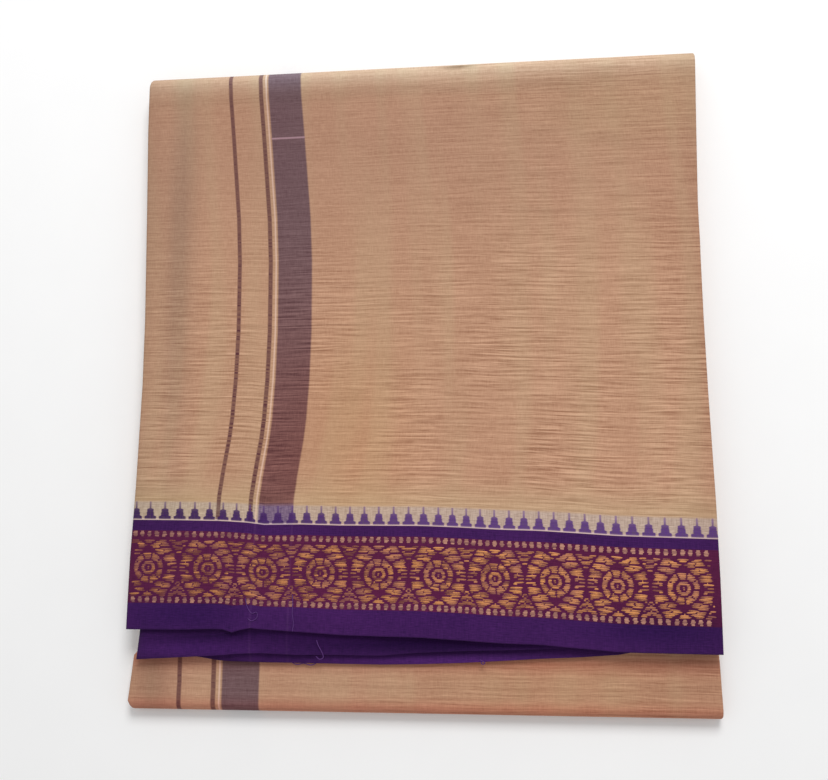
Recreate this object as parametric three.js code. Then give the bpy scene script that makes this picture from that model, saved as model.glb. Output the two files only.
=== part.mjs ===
// A lungi folded flat: one loomed length of cotton with woven borders along both selvedges.
// It is folded in eight along its length, then in four across its width, and lies on its back.
// Millimetres, +Z up, +Y towards the top fold, origin on the floor under the packet's middle.
import * as THREE from "three";

// The packet
const PACKET_DEPTH = 285; // from the lower fold to the top fold
const PACKET_HEIGHT = 13; // four packs of eight layers
const LOWER_HEIGHT = 7; // two packs, where the lower fold shows
const TOP_FOLD = PACKET_DEPTH / 2;
const LOWER_FOLD = -PACKET_DEPTH / 2;

// The cloth
const WALL = 1.2; // an outer turn with the plies that lie in it
const GAP = 0.3; // between neighbouring solids
const SLACK = 0.1; // added to the gap where the grids of two pieces differ
const SECOND_WALL = 1.8; // plies that end together under the top selvedge
const THIRD_WALL = 2.0; // plies that end together lowest

// Folds
const TOP_RADIUS = PACKET_HEIGHT / 2;
const LOWER_RADIUS = LOWER_HEIGHT / 2;
const CURL = 3.2; // how far an outer turn rounds over at the packet's sides
const LOWER_CURL = 1.8; // the same beside the lower fold
const UNDER_TOP = 126; // where the turn of the top fold ends under the packet
const UNDER_LOWER = -125; // where the turn of the lower fold ends under the packet
const STEP = -97; // how far back the lower packs run bare of the upper ones
const BORDER_DEPTH = 46.5; // woven border, from the selvedge to the field
const BEVEL = 0.6; // softened edge of the plies at the selvedges

// Grid steps, and stations along Y between the folds
const CROSS_STEPS = 16;
const CURL_STEPS = 4;
const ARC_STEPS = 8;
const FIELD_STEPS = 12;
const BORDER_STEPS = 5;
const LOWER_STATIONS = [-130, -122, -112];
const UPPER_STATIONS = [-88, -80, -60, -35, -10, 15, 40, 65, 90, 112];
const BACK_STATIONS = [-88, -50, -5, 25, 75];

// Half outline of the packet at stations from the lower fold to the top fold.
// left and right belong to the upper packs, lowLeft and lowRight to the lower ones.
const OUTLINE = [
  { y: -142.5, left: -124.2, right: 125.0, lowLeft: -124.4, lowRight: 125.0 },
  { y: -139.0, left: -124.2, right: 125.0, lowLeft: -125.0, lowRight: 125.0 },
  { y: -120.0, left: -124.2, right: 125.0, lowLeft: -122.6, lowRight: 124.4 },
  { y: -105.0, left: -124.0, right: 125.0, lowLeft: -122.4, lowRight: 124.0 },
  { y: -80.0, left: -123.4, right: 125.0, lowLeft: -122.8, lowRight: 124.0 },
  { y: -50.0, left: -122.1, right: 124.6, lowLeft: -121.8, lowRight: 123.8 },
  { y: -5.0, left: -121.0, right: 123.4, lowLeft: -120.8, lowRight: 123.0 },
  { y: 25.0, left: -121.1, right: 122.9, lowLeft: -120.6, lowRight: 122.4 },
  { y: 75.0, left: -122.3, right: 122.6, lowLeft: -121.8, lowRight: 122.2 },
  { y: 115.0, left: -123.4, right: 123.5, lowLeft: -122.8, lowRight: 123.0 },
  { y: 142.5, left: -123.6, right: 124.2, lowLeft: -123.2, lowRight: 123.8 },
];

// Front edges of the three visible selvedge plies, across the packet.
const EDGES = [
  { x: -125, top: -108.0, second: -120.6, third: -117.5 },
  { x: -100, top: -108.3, second: -120.4, third: -118.8 },
  { x: -82, top: -108.6, second: -120.0, third: -120.6 },
  { x: -65, top: -108.9, second: -118.8, third: -121.2 },
  { x: -48, top: -109.9, second: -118.8, third: -121.8 },
  { x: -31, top: -111.2, second: -119.0, third: -122.0 },
  { x: -14, top: -111.4, second: -119.2, third: -122.1 },
  { x: 3, top: -112.6, second: -118.6, third: -121.6 },
  { x: 20, top: -113.2, second: -117.4, third: -120.9 },
  { x: 36, top: -113.9, second: -116.4, third: -120.2 },
  { x: 52, top: -114.1, second: -114.0, third: -118.9 },
  { x: 68, top: -115.0, second: -112.6, third: -118.3 },
  { x: 84, top: -115.7, second: -111.6, third: -116.9 },
  { x: 100, top: -115.9, second: -110.8, third: -114.0 },
  { x: 125, top: -116.4, second: -110.0, third: -112.0 },
];

// Broad soft swells and troughs of the lying packet: centre, reach along X and Y, and rise on top.
const SWELLS = [
  { x: 10, y: 30, reachX: 90, reachY: 80, rise: 0.55 },
  { x: -85, y: 95, reachX: 40, reachY: 50, rise: -0.35 },
  { x: 95, y: 70, reachX: 35, reachY: 60, rise: -0.3 },
  { x: -95, y: -30, reachX: 30, reachY: 45, rise: 0.3 },
  { x: 60, y: -70, reachX: 60, reachY: 30, rise: 0.35 },
  { x: -10, y: -122, reachX: 160, reachY: 14, rise: -0.9 },
];

// Value of one column of a table at a place between its rows.
function lookup(rows, key, column, at) {
  const last = rows.length - 1;
  const clamped = THREE.MathUtils.clamp(at, rows[0][key], rows[last][key]);
  let k = 1;
  while (k < last && rows[k][key] < clamped) k++;
  const share = (clamped - rows[k - 1][key]) / (rows[k][key] - rows[k - 1][key]);
  return THREE.MathUtils.lerp(rows[k - 1][column], rows[k][column], share);
}

const sideOf = (column, y) => lookup(OUTLINE, "y", column, y);
const edgeOf = (column, x) => lookup(EDGES, "x", column, x);
const seamOf = (x) => edgeOf("top", x) + BORDER_DEPTH;

// Settles a point of the flat packet: the swells lift it in proportion to its height, so the
// underside stays flat and the gaps between pieces stay as they are.
function settle(x, y, z) {
  let rise = 0;
  for (const s of SWELLS) {
    rise += s.rise * Math.exp(-(((x - s.x) / s.reachX) ** 2) - ((y - s.y) / s.reachY) ** 2);
  }
  return [x, y, z + (rise * z) / PACKET_HEIGHT];
}

// Closed shell from an outer and an inner grid of the same size, rows by columns of points.
function shell(outer, inner) {
  const rows = outer.length;
  const columns = outer[0].length;
  const points = [...outer.flat(), ...inner.flat()];
  const at = (layer, i, j) => layer * rows * columns + i * columns + j;
  const faces = [];
  const quad = (a, b, c, d) => faces.push(a, b, c, a, c, d);
  for (let i = 0; i < rows - 1; i++) {
    for (let j = 0; j < columns - 1; j++) {
      quad(at(0, i, j), at(0, i, j + 1), at(0, i + 1, j + 1), at(0, i + 1, j));
      quad(at(1, i, j), at(1, i + 1, j), at(1, i + 1, j + 1), at(1, i, j + 1));
    }
  }
  for (let j = 0; j < columns - 1; j++) {
    quad(at(0, 0, j + 1), at(0, 0, j), at(1, 0, j), at(1, 0, j + 1));
    quad(at(0, rows - 1, j), at(0, rows - 1, j + 1), at(1, rows - 1, j + 1), at(1, rows - 1, j));
  }
  for (let i = 0; i < rows - 1; i++) {
    quad(at(0, i, 0), at(0, i + 1, 0), at(1, i + 1, 0), at(1, i, 0));
    const j = columns - 1;
    quad(at(0, i + 1, j), at(0, i, j), at(1, i, j), at(1, i + 1, j));
  }
  return geometryOf(points, faces);
}

function geometryOf(points, faces) {
  const geometry = new THREE.BufferGeometry();
  geometry.setAttribute("position", new THREE.Float32BufferAttribute(points.flat(), 3));
  geometry.setIndex(faces);
  geometry.computeVertexNormals();
  return geometry;
}

// Columns across a panel: share of its flat width, and the turn of its rounded sides in radians.
function columnsAcross(curled) {
  const columns = [];
  const turns = curled ? CURL_STEPS : 0;
  for (let k = 0; k < turns; k++) columns.push({ share: 0, turn: (k / turns) * (Math.PI / 2) });
  for (let k = 0; k <= CROSS_STEPS; k++) columns.push({ share: k / CROSS_STEPS, turn: Math.PI / 2 });
  for (let k = turns - 1; k >= 0; k--) columns.push({ share: 1, turn: (k / turns) * (Math.PI / 2) });
  return columns;
}

// A turn of cloth carried along stations, each with its place and outward direction in YZ.
// A point lies depth below the outer face; the sides round over by the station's curl.
function panelGrid(stations, sides, depth) {
  return stations.map((station) => {
    const left = sides.left(station.y);
    const right = sides.right(station.y);
    return columnsAcross(true).map(({ share, turn }) => {
      const inner = station.curl - depth;
      const flat = left + station.curl + share * (right - left - 2 * station.curl);
      const x = flat + (share < 0.5 ? -1 : 1) * inner * Math.cos(turn);
      const drop = station.curl - inner * Math.sin(turn);
      const y = station.y + (station.shift ? station.shift(x) : 0);
      return settle(x, y - station.ny * drop, station.z - station.nz * drop);
    });
  });
}

function panel(stations, sides) {
  return shell(panelGrid(stations, sides, 0), panelGrid(stations, sides, WALL));
}

const flatTop = (y, shift) => ({ y, shift, z: PACKET_HEIGHT, ny: 0, nz: 1, curl: CURL });
const upperSides = {
  left: (y) => sideOf("left", y),
  right: (y) => sideOf("right", y),
};
const lowerSides = {
  left: (y) => sideOf("lowLeft", y),
  right: (y) => sideOf("lowRight", y),
};

const SEAM_MEAN = seamOf(0);
const seamShift = (share) => (x) => share * (seamOf(x) - SEAM_MEAN);

// Field of the top ply: from the border's seam over the top fold and a little way under.
function frontField() {
  const centre = TOP_FOLD - TOP_RADIUS;
  const start = SEAM_MEAN + GAP;
  const stations = [];
  for (let k = 0; k < FIELD_STEPS; k++) {
    const share = k / FIELD_STEPS;
    stations.push(flatTop(THREE.MathUtils.lerp(start, centre, share), seamShift(1 - share)));
  }
  for (let k = 0; k <= ARC_STEPS; k++) {
    const turn = Math.PI / 2 - (k / ARC_STEPS) * Math.PI;
    stations.push({
      y: centre + TOP_RADIUS * Math.cos(turn),
      z: TOP_RADIUS + TOP_RADIUS * Math.sin(turn),
      ny: Math.cos(turn),
      nz: Math.sin(turn),
      curl: CURL,
    });
  }
  stations.push({ y: UNDER_TOP, z: 0, ny: 0, nz: -1, curl: CURL });
  return panel(stations, upperSides);
}

// Woven border of the top ply, from its free selvedge to the seam with the field.
function frontBorder() {
  const free = edgeOf("top", 0);
  const stations = [];
  for (let k = 0; k <= BORDER_STEPS; k++) {
    const share = k / BORDER_STEPS;
    const shift = (x) => edgeOf("top", x) - free;
    stations.push(flatTop(THREE.MathUtils.lerp(free, SEAM_MEAN, share), shift));
  }
  return panel(stations, upperSides);
}

// Sides of the two stacks of plies that show below the front border.
const SECOND_SIDES = { left: -118, right: 121 };
const THIRD_SIDES = { left: -116, right: 121.5 };

// A stack of plies that ends at a selvedge: flat, with a wavy front edge and softened rims.
function selvedgeStack(column, top, thickness, { left, right }) {
  const back = STEP - GAP;
  const depths = [
    { share: 0, inset: BEVEL },
    { share: 0.4, inset: 0 },
    { share: 1, inset: 0 },
  ];
  const grid = (depth, bevel) =>
    depths.map(({ share }, i) =>
      columnsAcross(false).map((across) => {
        const rim = i === 0 ? bevel : 0;
        const end = across.share === 0 || across.share === 1 ? bevel : 0;
        const x = THREE.MathUtils.lerp(left + end, right - end, across.share);
        const front = edgeOf(column, x) + rim;
        return settle(x, THREE.MathUtils.lerp(front, back, share), top - depth);
      }),
    );
  return shell(grid(0, BEVEL), grid(thickness, 0));
}

const SECOND_TOP = PACKET_HEIGHT - WALL - GAP - SLACK;
const THIRD_TOP = SECOND_TOP - SECOND_WALL - GAP;

// Cloth of the lower packs: over their top, round the lower fold and a little way under.
function lowerFold() {
  const centre = LOWER_FOLD + LOWER_RADIUS;
  const lying = { z: LOWER_HEIGHT, ny: 0, nz: 1, curl: LOWER_CURL };
  const stations = [{ y: UNDER_LOWER, z: 0, ny: 0, nz: -1, curl: LOWER_CURL }];
  for (let k = 0; k <= ARC_STEPS; k++) {
    const turn = -Math.PI / 2 - (k / ARC_STEPS) * Math.PI;
    stations.push({
      y: centre + LOWER_RADIUS * Math.cos(turn),
      z: LOWER_RADIUS + LOWER_RADIUS * Math.sin(turn),
      ny: Math.cos(turn),
      nz: Math.sin(turn),
      curl: LOWER_CURL,
    });
  }
  for (const y of [...LOWER_STATIONS, STEP - GAP]) stations.push({ y, ...lying });
  return panel(stations, lowerSides);
}

// Outer turn on the floor, between the turns of the two folds.
function backPanel() {
  const under = { z: 0, ny: 0, nz: -1 };
  const station = (curl) => (y) => ({ y, ...under, curl });
  const low = [UNDER_LOWER + GAP, STEP + GAP].map(station(LOWER_CURL));
  const high = [...BACK_STATIONS, UNDER_TOP - GAP].map(station(CURL));
  return panel([...low, ...high].reverse(), lowerSides);
}

// One side of the hidden plies, from bottom to top: level is a share of the section's height,
// and lobe how far a bundle of plies bulges there.
const SEAT = WALL + GAP;
const CORNER_STEPS = 3;
const CORNER_LEVEL = 0.17;
const LOBES_FROM = 0.2;
const LOBE_DEPTH = 1.2;
const LOBE_STEPS = 4;

function bundleSide(bundles) {
  const low = [];
  for (let k = 0; k <= CORNER_STEPS; k++) {
    const turn = (k / CORNER_STEPS) * (Math.PI / 2);
    low.push({ level: CORNER_LEVEL * (1 - Math.cos(turn)), lobe: 0 });
  }
  const middle = [];
  for (let k = 0; k <= bundles * LOBE_STEPS; k++) {
    const across = ((k % LOBE_STEPS) / LOBE_STEPS) * 2 - 1;
    const level = THREE.MathUtils.lerp(LOBES_FROM, 1 - LOBES_FROM, k / (bundles * LOBE_STEPS));
    middle.push({ level, lobe: LOBE_DEPTH * Math.sqrt(1 - across ** 2) });
  }
  const high = low.map((row) => ({ ...row, level: 1 - row.level })).reverse();
  return [...low, ...middle, ...high];
}

const LEFT_SIDE = bundleSide(2);
const RIGHT_SIDE = bundleSide(4);

// Ring of points round one section of the hidden plies, seen along +Y from the lower fold.
// The section stands SEAT inside the outer turns, also where these round over at the sides.
function hiddenRing({ y, beyond, middle, half, curl, lobe, upper }) {
  const height = (level) => middle + half * (2 * level - 1);
  const inset = (level) => {
    const reach = Math.hypot(beyond, height(level) - middle);
    const over = THREE.MathUtils.clamp((reach - middle + curl) / (curl - SEAT), 0, 1);
    return curl - (curl - SEAT) * Math.sqrt(1 - over ** 2);
  };
  const side = (name, lowName, level) => {
    const share = upper ? THREE.MathUtils.smoothstep(level, LOBES_FROM, 1 - LOBES_FROM) : 0;
    return THREE.MathUtils.lerp(sideOf(lowName, y), sideOf(name, y), share);
  };
  const leftX = (row) => side("left", "lowLeft", row.level) + inset(row.level) - row.lobe * lobe;
  const rightX = (row) => side("right", "lowRight", row.level) - inset(row.level) + row.lobe * lobe;
  const first = LEFT_SIDE[0];
  const last = LEFT_SIDE[LEFT_SIDE.length - 1];
  const ring = [];
  for (let k = 1; k < CROSS_STEPS; k++) {
    ring.push([THREE.MathUtils.lerp(leftX(first), rightX(first), k / CROSS_STEPS), height(0)]);
  }
  for (const row of RIGHT_SIDE) ring.push([rightX(row), height(row.level)]);
  for (let k = 1; k < CROSS_STEPS; k++) {
    ring.push([THREE.MathUtils.lerp(rightX(last), leftX(last), k / CROSS_STEPS), height(1)]);
  }
  for (const row of [...LEFT_SIDE].reverse()) ring.push([leftX(row), height(row.level)]);
  return ring.map(([x, z]) => settle(x, y, z));
}

// Sections of the hidden plies, from inside the lower fold to inside the top fold.
const FADE = 6; // over this length the bundles round off towards a fold
const FOLD_SECTIONS = 4;
const BLUNT_END = 0.45 * Math.PI; // turn at which a rounded end is cut flat

function hiddenSections() {
  const lowerCentre = LOWER_FOLD + LOWER_RADIUS;
  const topCentre = TOP_FOLD - TOP_RADIUS;
  const lower = { middle: LOWER_RADIUS, half: LOWER_RADIUS - SEAT, curl: LOWER_CURL };
  const upper = { middle: TOP_RADIUS, half: TOP_RADIUS - SEAT, curl: CURL, upper: true };
  const sections = [];
  for (let k = FOLD_SECTIONS; k >= 0; k--) {
    const turn = (k / FOLD_SECTIONS) * BLUNT_END;
    const beyond = lower.half * Math.sin(turn);
    const half = lower.half * Math.cos(turn);
    sections.push({ ...lower, y: lowerCentre - beyond, beyond, half, lobe: 0 });
  }
  for (const y of [lowerCentre + FADE / 3, lowerCentre + FADE, ...LOWER_STATIONS, STEP]) {
    sections.push({ ...lower, y, beyond: 0, lobe: Math.min(1, (y - lowerCentre) / FADE) });
  }
  const flats = [STEP + GAP / 3, ...UPPER_STATIONS, topCentre - FADE, topCentre - FADE / 3];
  for (const y of flats) {
    sections.push({ ...upper, y, beyond: 0, lobe: Math.min(1, (topCentre - y) / FADE) });
  }
  for (let k = 0; k <= FOLD_SECTIONS; k++) {
    const turn = (k / FOLD_SECTIONS) * BLUNT_END;
    const beyond = upper.half * Math.sin(turn);
    const half = upper.half * Math.cos(turn);
    sections.push({ ...upper, y: topCentre + beyond, beyond, half, lobe: 0 });
  }
  return sections;
}

// All the plies that do not show, as one rounded body with bundled edges.
function hiddenLayers() {
  const rings = hiddenSections().map(hiddenRing);
  const size = rings[0].length;
  const points = rings.flat();
  const faces = [];
  for (let i = 0; i < rings.length - 1; i++) {
    for (let j = 0; j < size; j++) {
      const a = i * size + j;
      const b = i * size + ((j + 1) % size);
      faces.push(a, b + size, b, a, a + size, b + size);
    }
  }
  const caps = [0, rings.length - 1];
  for (const cap of caps) {
    const flat = rings[cap].map(([x, , z]) => new THREE.Vector2(x, z));
    for (const [a, b, c] of THREE.ShapeUtils.triangulateShape(flat, [])) {
      const base = cap * size;
      if (cap === 0) faces.push(base + a, base + b, base + c);
      else faces.push(base + a, base + c, base + b);
    }
  }
  return geometryOf(points, faces);
}

const cloth = (color) =>
  new THREE.MeshStandardMaterial({ color, roughness: 0.9, metalness: 0, side: THREE.DoubleSide });

function piece(name, geometry, color) {
  const mesh = new THREE.Mesh(geometry, cloth(color));
  mesh.name = name;
  return mesh;
}

const FIELD = 0xb6896f;
const FIELD_SHADED = 0xa87c60;
const PURPLE = 0x42205a;
const DEEP_PURPLE = 0x371d54;

const secondBorder = selvedgeStack("second", SECOND_TOP, SECOND_WALL, SECOND_SIDES);
const thirdBorder = selvedgeStack("third", THIRD_TOP, THIRD_WALL, THIRD_SIDES);

const lungi = new THREE.Group();
lungi.add(
  piece("hidden_layers", hiddenLayers(), FIELD_SHADED),
  piece("front_field", frontField(), FIELD),
  piece("front_border", frontBorder(), PURPLE),
  piece("second_border", secondBorder, DEEP_PURPLE),
  piece("third_border", thirdBorder, DEEP_PURPLE),
  piece("lower_fold", lowerFold(), FIELD),
  piece("back_panel", backPanel(), FIELD),
);

export default lungi;
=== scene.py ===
"""A lungi folded flat, dressed round its solids.

One loomed length of cotton, tan with purple and gold borders along its selvedges and plum
stripes near one end. It is folded in eight along its length and in four across its width, so
it lies as four packs of eight plies. Sizes are in millimetres until they go into a mesh.
X runs across the packet, Y from the lower fold to the top fold, and Z up.
"""

import bpy
import numpy as np
from mathutils import Matrix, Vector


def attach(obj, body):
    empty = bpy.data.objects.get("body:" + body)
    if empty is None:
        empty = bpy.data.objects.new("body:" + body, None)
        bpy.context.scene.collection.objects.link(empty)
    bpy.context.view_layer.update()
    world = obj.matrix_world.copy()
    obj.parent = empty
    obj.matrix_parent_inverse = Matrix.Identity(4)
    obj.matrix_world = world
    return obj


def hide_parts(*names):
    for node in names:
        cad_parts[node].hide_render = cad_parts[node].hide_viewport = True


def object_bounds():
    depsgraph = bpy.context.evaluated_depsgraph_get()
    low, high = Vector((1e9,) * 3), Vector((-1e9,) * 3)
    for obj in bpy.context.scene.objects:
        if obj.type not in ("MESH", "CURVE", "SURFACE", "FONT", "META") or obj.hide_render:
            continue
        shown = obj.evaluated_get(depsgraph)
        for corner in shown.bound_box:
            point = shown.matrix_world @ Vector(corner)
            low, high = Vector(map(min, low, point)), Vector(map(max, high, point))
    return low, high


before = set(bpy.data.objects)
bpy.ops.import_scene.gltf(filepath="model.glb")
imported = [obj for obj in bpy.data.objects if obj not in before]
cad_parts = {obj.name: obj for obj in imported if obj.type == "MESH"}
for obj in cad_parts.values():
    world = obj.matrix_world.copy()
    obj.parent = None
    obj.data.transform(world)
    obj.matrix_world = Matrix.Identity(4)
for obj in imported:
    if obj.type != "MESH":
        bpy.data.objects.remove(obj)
CAD_LOW, CAD_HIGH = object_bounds()

# Front cloth
# The ply on top of the packet, plain-woven cotton. It runs from its free selvedge, where the
# border is woven in, over the packet, round the top fold and a little way under.

MM = 0.001
LOWER_FOLD = CAD_LOW.y / MM
TOP_FOLD = CAD_HIGH.y / MM
PACK = 3.25  # height of eight plies pressed together
HEIGHT = 4 * PACK
LOWER_HEIGHT = 7.0  # the two lower packs where they lie bare
PLY = 0.3  # thickness of the cloth
TOP_CENTRE = TOP_FOLD - HEIGHT / 2  # where the top fold starts to turn
UNDER_TOP = 126.0  # where the front cloth ends under the packet
BORDER_DEPTH = 46.5  # woven border, from the selvedge to the field
DRAWN_REACH = 12.0  # how far into the cloth the edge's own shape reaches
FLAP = 5.0  # how far a turned side runs back inside the packet
SIDE_BLEND = 1.3  # height in which the upper packs' sides take over from the lower ones'

# Sides of the packet: of the upper packs, and of the lower ones.
OUTLINE = {
    "y": [-142.5, -139.0, -120.0, -114.0, -80.0, -50.0, -5.0, 25.0, 75.0, 115.0, 142.5],
    "left": [-124.2, -124.2, -124.2, -124.0, -123.4, -122.1, -121.0, -121.1, -122.3, -123.4, -123.6],
    "right": [125.0, 125.0, 125.0, 125.0, 125.0, 124.6, 123.4, 122.9, 122.6, 123.5, 124.2],
    "low_left": [-123.2, -124.2, -122.3, -117.2, -120.6, -121.4, -120.8, -120.6, -121.8, -122.8, -123.2],
    "low_right": [125.0, 125.0, 124.4, 124.0, 124.0, 123.8, 123.0, 122.4, 122.2, 123.0, 123.8],
}

# Front edges of the three selvedges that show, across the packet. band is where the border's
# upper line puts the first one: at places the cloth is drawn up between the two.
EDGES = {
    "x": [-125, -100, -82, -77, -70, -65, -48, -31, -14, 3, 20, 36, 52, 68, 84, 100, 125],
    "top": [-108.6, -108.6, -108.1, -109.6, -107.5, -108.1, -109.1, -110.2, -110.6, -110.9,
            -111.9, -112.9, -113.3, -114.6, -115.9, -116.1, -116.4],
    "band": [-108.3, -108.6, -109.0, -109.3, -109.8, -110.7, -110.5, -111.0, -111.1, -111.2,
             -111.9, -112.8, -113.3, -114.3, -115.4, -116.0, -116.8],
    "second": [-121.6, -120.2, -119.2, -118.7, -118.3, -118.1, -118.7, -118.5, -118.6, -117.2,
               -116.4, -115.9, -115.2, -114.2, -111.6, -110.8, -110.0],
    "third": [-117.5, -118.8, -121.5, -121.8, -121.9, -122.0, -122.1, -122.3, -122.4, -122.0,
              -121.3, -120.3, -119.2, -118.4, -117.2, -114.2, -112.0],
}

# Broad soft swells of the lying packet.
SWELLS = {
    "x": [10, -85, 95, -95, 60, -10],
    "y": [30, 95, 70, -30, -70, -122],
    "reach_x": [90, 40, 35, 30, 60, 160],
    "reach_y": [80, 50, 60, 45, 30, 14],
    "rise": [0.55, -0.35, -0.3, 0.3, 0.35, -0.9],
}

# Creases of the top ply: ridges have a rise above nought, troughs below it. turn is in degrees.
CREASES = {
    "x": [-20, 40, 12, 70, 95, 60, 100, 88, 45, -30, -95, -85, -60, 20, 70, -10,
          -78, -68, -95, -40, 30, 95, 117, -117, -111, 110, -35, 60],
    "y": [131, 126, 139, 108, 97, 90, 80, 66, 74, 38, -15, 8, 23, -20, -35, 2,
          -105, -103, -112, -108, -111, -110, 10, 40, -40, 90, -48, -52],
    "turn": [1, -2, 2, -9, -14, -12, -10, -6, -8, 0, 1, 0, 0, 0, -1, 1,
             72, 78, 6, -4, -3, -2, 90, 90, 88, 92, -2, -3],
    "reach": [95, 55, 18, 35, 30, 38, 28, 34, 30, 60, 25, 30, 45, 50, 45, 38,
              9, 11, 26, 22, 30, 28, 60, 70, 40, 40, 50, 60],
    "width": [3.2, 2.4, 2.2, 2.6, 2.2, 2.4, 2.6, 2.2, 2.0, 1.6, 1.6, 1.4, 1.3, 1.6, 1.5, 1.4,
              2.4, 3.2, 4.0, 3.5, 4.5, 4.0, 2.5, 2.8, 2.4, 2.2, 2.2, 2.4],
    "rise": [0.26, -0.2, -0.5, 0.2, -0.18, 0.18, 0.2, -0.16, 0.14, -0.16, 0.18, -0.15, 0.2, 0.14,
             -0.13, 0.12, -0.6, 0.4, 0.35, -0.3, 0.35, -0.25, -0.22, -0.28, 0.2, 0.16, -0.14, 0.12],
}


def outline(side, y, z):
    """Place of a side of the packet: the lower packs' near the floor, the upper packs' above."""
    share = np.clip((z - LOWER_HEIGHT) / SIDE_BLEND, 0, 1)
    low = np.interp(y, OUTLINE["y"], OUTLINE["low_" + side])
    return low + share * (np.interp(y, OUTLINE["y"], OUTLINE[side]) - low)


def edge(name, x):
    """Y of a selvedge at each x."""
    return np.interp(x, EDGES["x"], EDGES[name])


def drawn_up(x, way):
    """How far the edge's own shape still moves the cloth at a way from it: it dies off."""
    return (edge("top", x) - edge("band", x)) * np.exp(-way / DRAWN_REACH)


def settle(x, y, z):
    """Height of a point once the packet lies: each swell adds its rise times a bell of the
    distance from its centre, in proportion to the point's height, so the underside stays flat."""
    s = {key: np.array(column) for key, column in SWELLS.items()}
    along = (x[..., None] - s["x"]) / s["reach_x"]
    up = (y[..., None] - s["y"]) / s["reach_y"]
    return z + (s["rise"] * np.exp(-(along**2) - up**2)).sum(-1) * z / HEIGHT


def creased(x, y, table):
    """Height of the creases: each is its rise times a bell along its length and one across it."""
    c = {key: np.array(column, float) for key, column in table.items()}
    turn = np.radians(c["turn"])
    dx, dy = x[..., None] - c["x"], y[..., None] - c["y"]
    along = (dx * np.cos(turn) + dy * np.sin(turn)) / c["reach"]
    over = (dy * np.cos(turn) - dx * np.sin(turn)) / c["width"]
    return (c["rise"] * np.exp(-(along**2) - over**2)).sum(-1)


def top_height(x, y):
    """Height of the front cloth's upper face where it lies flat."""
    return settle(x, y, np.full(np.shape(x), HEIGHT)) + creased(x, y, CREASES)


def section(left, right, left_turn, right_turn, flat_columns, turn_steps):
    """One row of a ply across the packet: a flap, a half circle round the left side, the flat,
    a half circle round the right side, and a flap. Gives x, the drop below the outer face, and
    the place on the cloth laid out flat. left and right are columns, one value a row."""
    angle = np.linspace(-np.pi / 2, np.pi / 2, turn_steps + 1)
    share = np.linspace(0, 1, flat_columns + 1)[1:-1]
    left, right = left[:, None], right[:, None]
    turn_x = lambda r: r * (1 - np.cos(angle))
    drop = lambda r: r * (1 - np.sin(angle))
    flat_left, flat_right = left + left_turn, right - right_turn
    unrolled = lambda r: r * (np.pi / 2 - angle)
    row = np.ones_like(left)
    x = np.hstack([
        flat_left + FLAP, left + turn_x(left_turn), flat_left + share * (flat_right - flat_left),
        right - turn_x(right_turn)[::-1], flat_right - FLAP,
    ])
    depth = np.hstack([
        2 * left_turn * row, drop(left_turn) * row, 0 * share * row,
        drop(right_turn)[::-1] * row, 2 * right_turn * row,
    ])
    laid = np.hstack([
        flat_left - np.pi * left_turn - FLAP, flat_left - unrolled(left_turn),
        flat_left + share * (flat_right - flat_left),
        flat_right + unrolled(right_turn)[::-1], flat_right + np.pi * right_turn + FLAP,
    ])
    return x, depth, laid


def arc(y, z, radius, start, end, steps):
    """Stations round a fold from angle start to end: y, z, and the outward direction."""
    angle = np.radians(np.linspace(start, end, steps + 1))
    out_y, out_z = np.cos(angle), np.sin(angle)
    return np.stack([y + radius * out_y, z + radius * out_z, out_y, out_z], 1)


def flat(y_from, y_to, z, up, steps):
    """Stations along a flat stretch, facing up (1) or down (-1)."""
    y = np.linspace(y_from, y_to, steps + 1)
    return np.stack([y, np.full_like(y, z), 0 * y, np.full_like(y, up)], 1)


def path_length(stations):
    """Distance along stations from the first one."""
    steps = np.hypot(*np.diff(stations[:, :2], axis=0).T)
    return np.concatenate([[0], np.cumsum(steps)])


def mesh_piece(name, points, faces):
    """A smooth piece from points in millimetres and the corners of its faces."""
    mesh = bpy.data.meshes.new(name)
    mesh.from_pydata((points * MM).tolist(), [], faces.tolist())
    mesh.shade_smooth()
    piece = bpy.data.objects.new(name, mesh)
    bpy.context.scene.collection.objects.link(piece)
    return piece


def sheet_mesh(name, points, **attributes):
    """A mesh from a grid of points in millimetres, rows by columns by three. Each attribute is a
    grid of vectors of the same size."""
    rows, columns = points.shape[:2]
    corner = (np.arange(rows - 1)[:, None] * columns + np.arange(columns - 1)).ravel()
    faces = np.stack([corner, corner + 1, corner + columns + 1, corner + columns], 1)
    piece = mesh_piece(name, points.reshape(-1, 3), faces)
    for key, grid in attributes.items():
        layer = piece.data.attributes.new(key, "FLOAT_VECTOR", "POINT")
        layer.data.foreach_set("vector", np.broadcast_to(grid, points.shape).astype(np.float32).ravel())
    return piece


def thicken(piece, thickness=PLY):
    """Gives a ply its thickness, inwards from its outer face."""
    wall = piece.modifiers.new("thickness", "SOLIDIFY")
    wall.thickness = thickness * MM
    wall.offset = -1
    wall.use_even_offset = False


# Where a repeat of the border stands: centres of its medallions across the packet.
MEDALLIONS = np.array([-114.6, -88.1, -64.4, -39.3, -14.6, 10.7, 34.0, 58.6, 83.9, 110.2])
REPEAT = 25.0


def repeat_at(x):
    """Count of border repeats at each x, straight beyond the first and last medallion."""
    inside = np.interp(x, MEDALLIONS, np.arange(len(MEDALLIONS)))
    before = np.minimum(x - MEDALLIONS[0], 0) / REPEAT
    return inside + before + np.maximum(x - MEDALLIONS[-1], 0) / REPEAT


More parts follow.
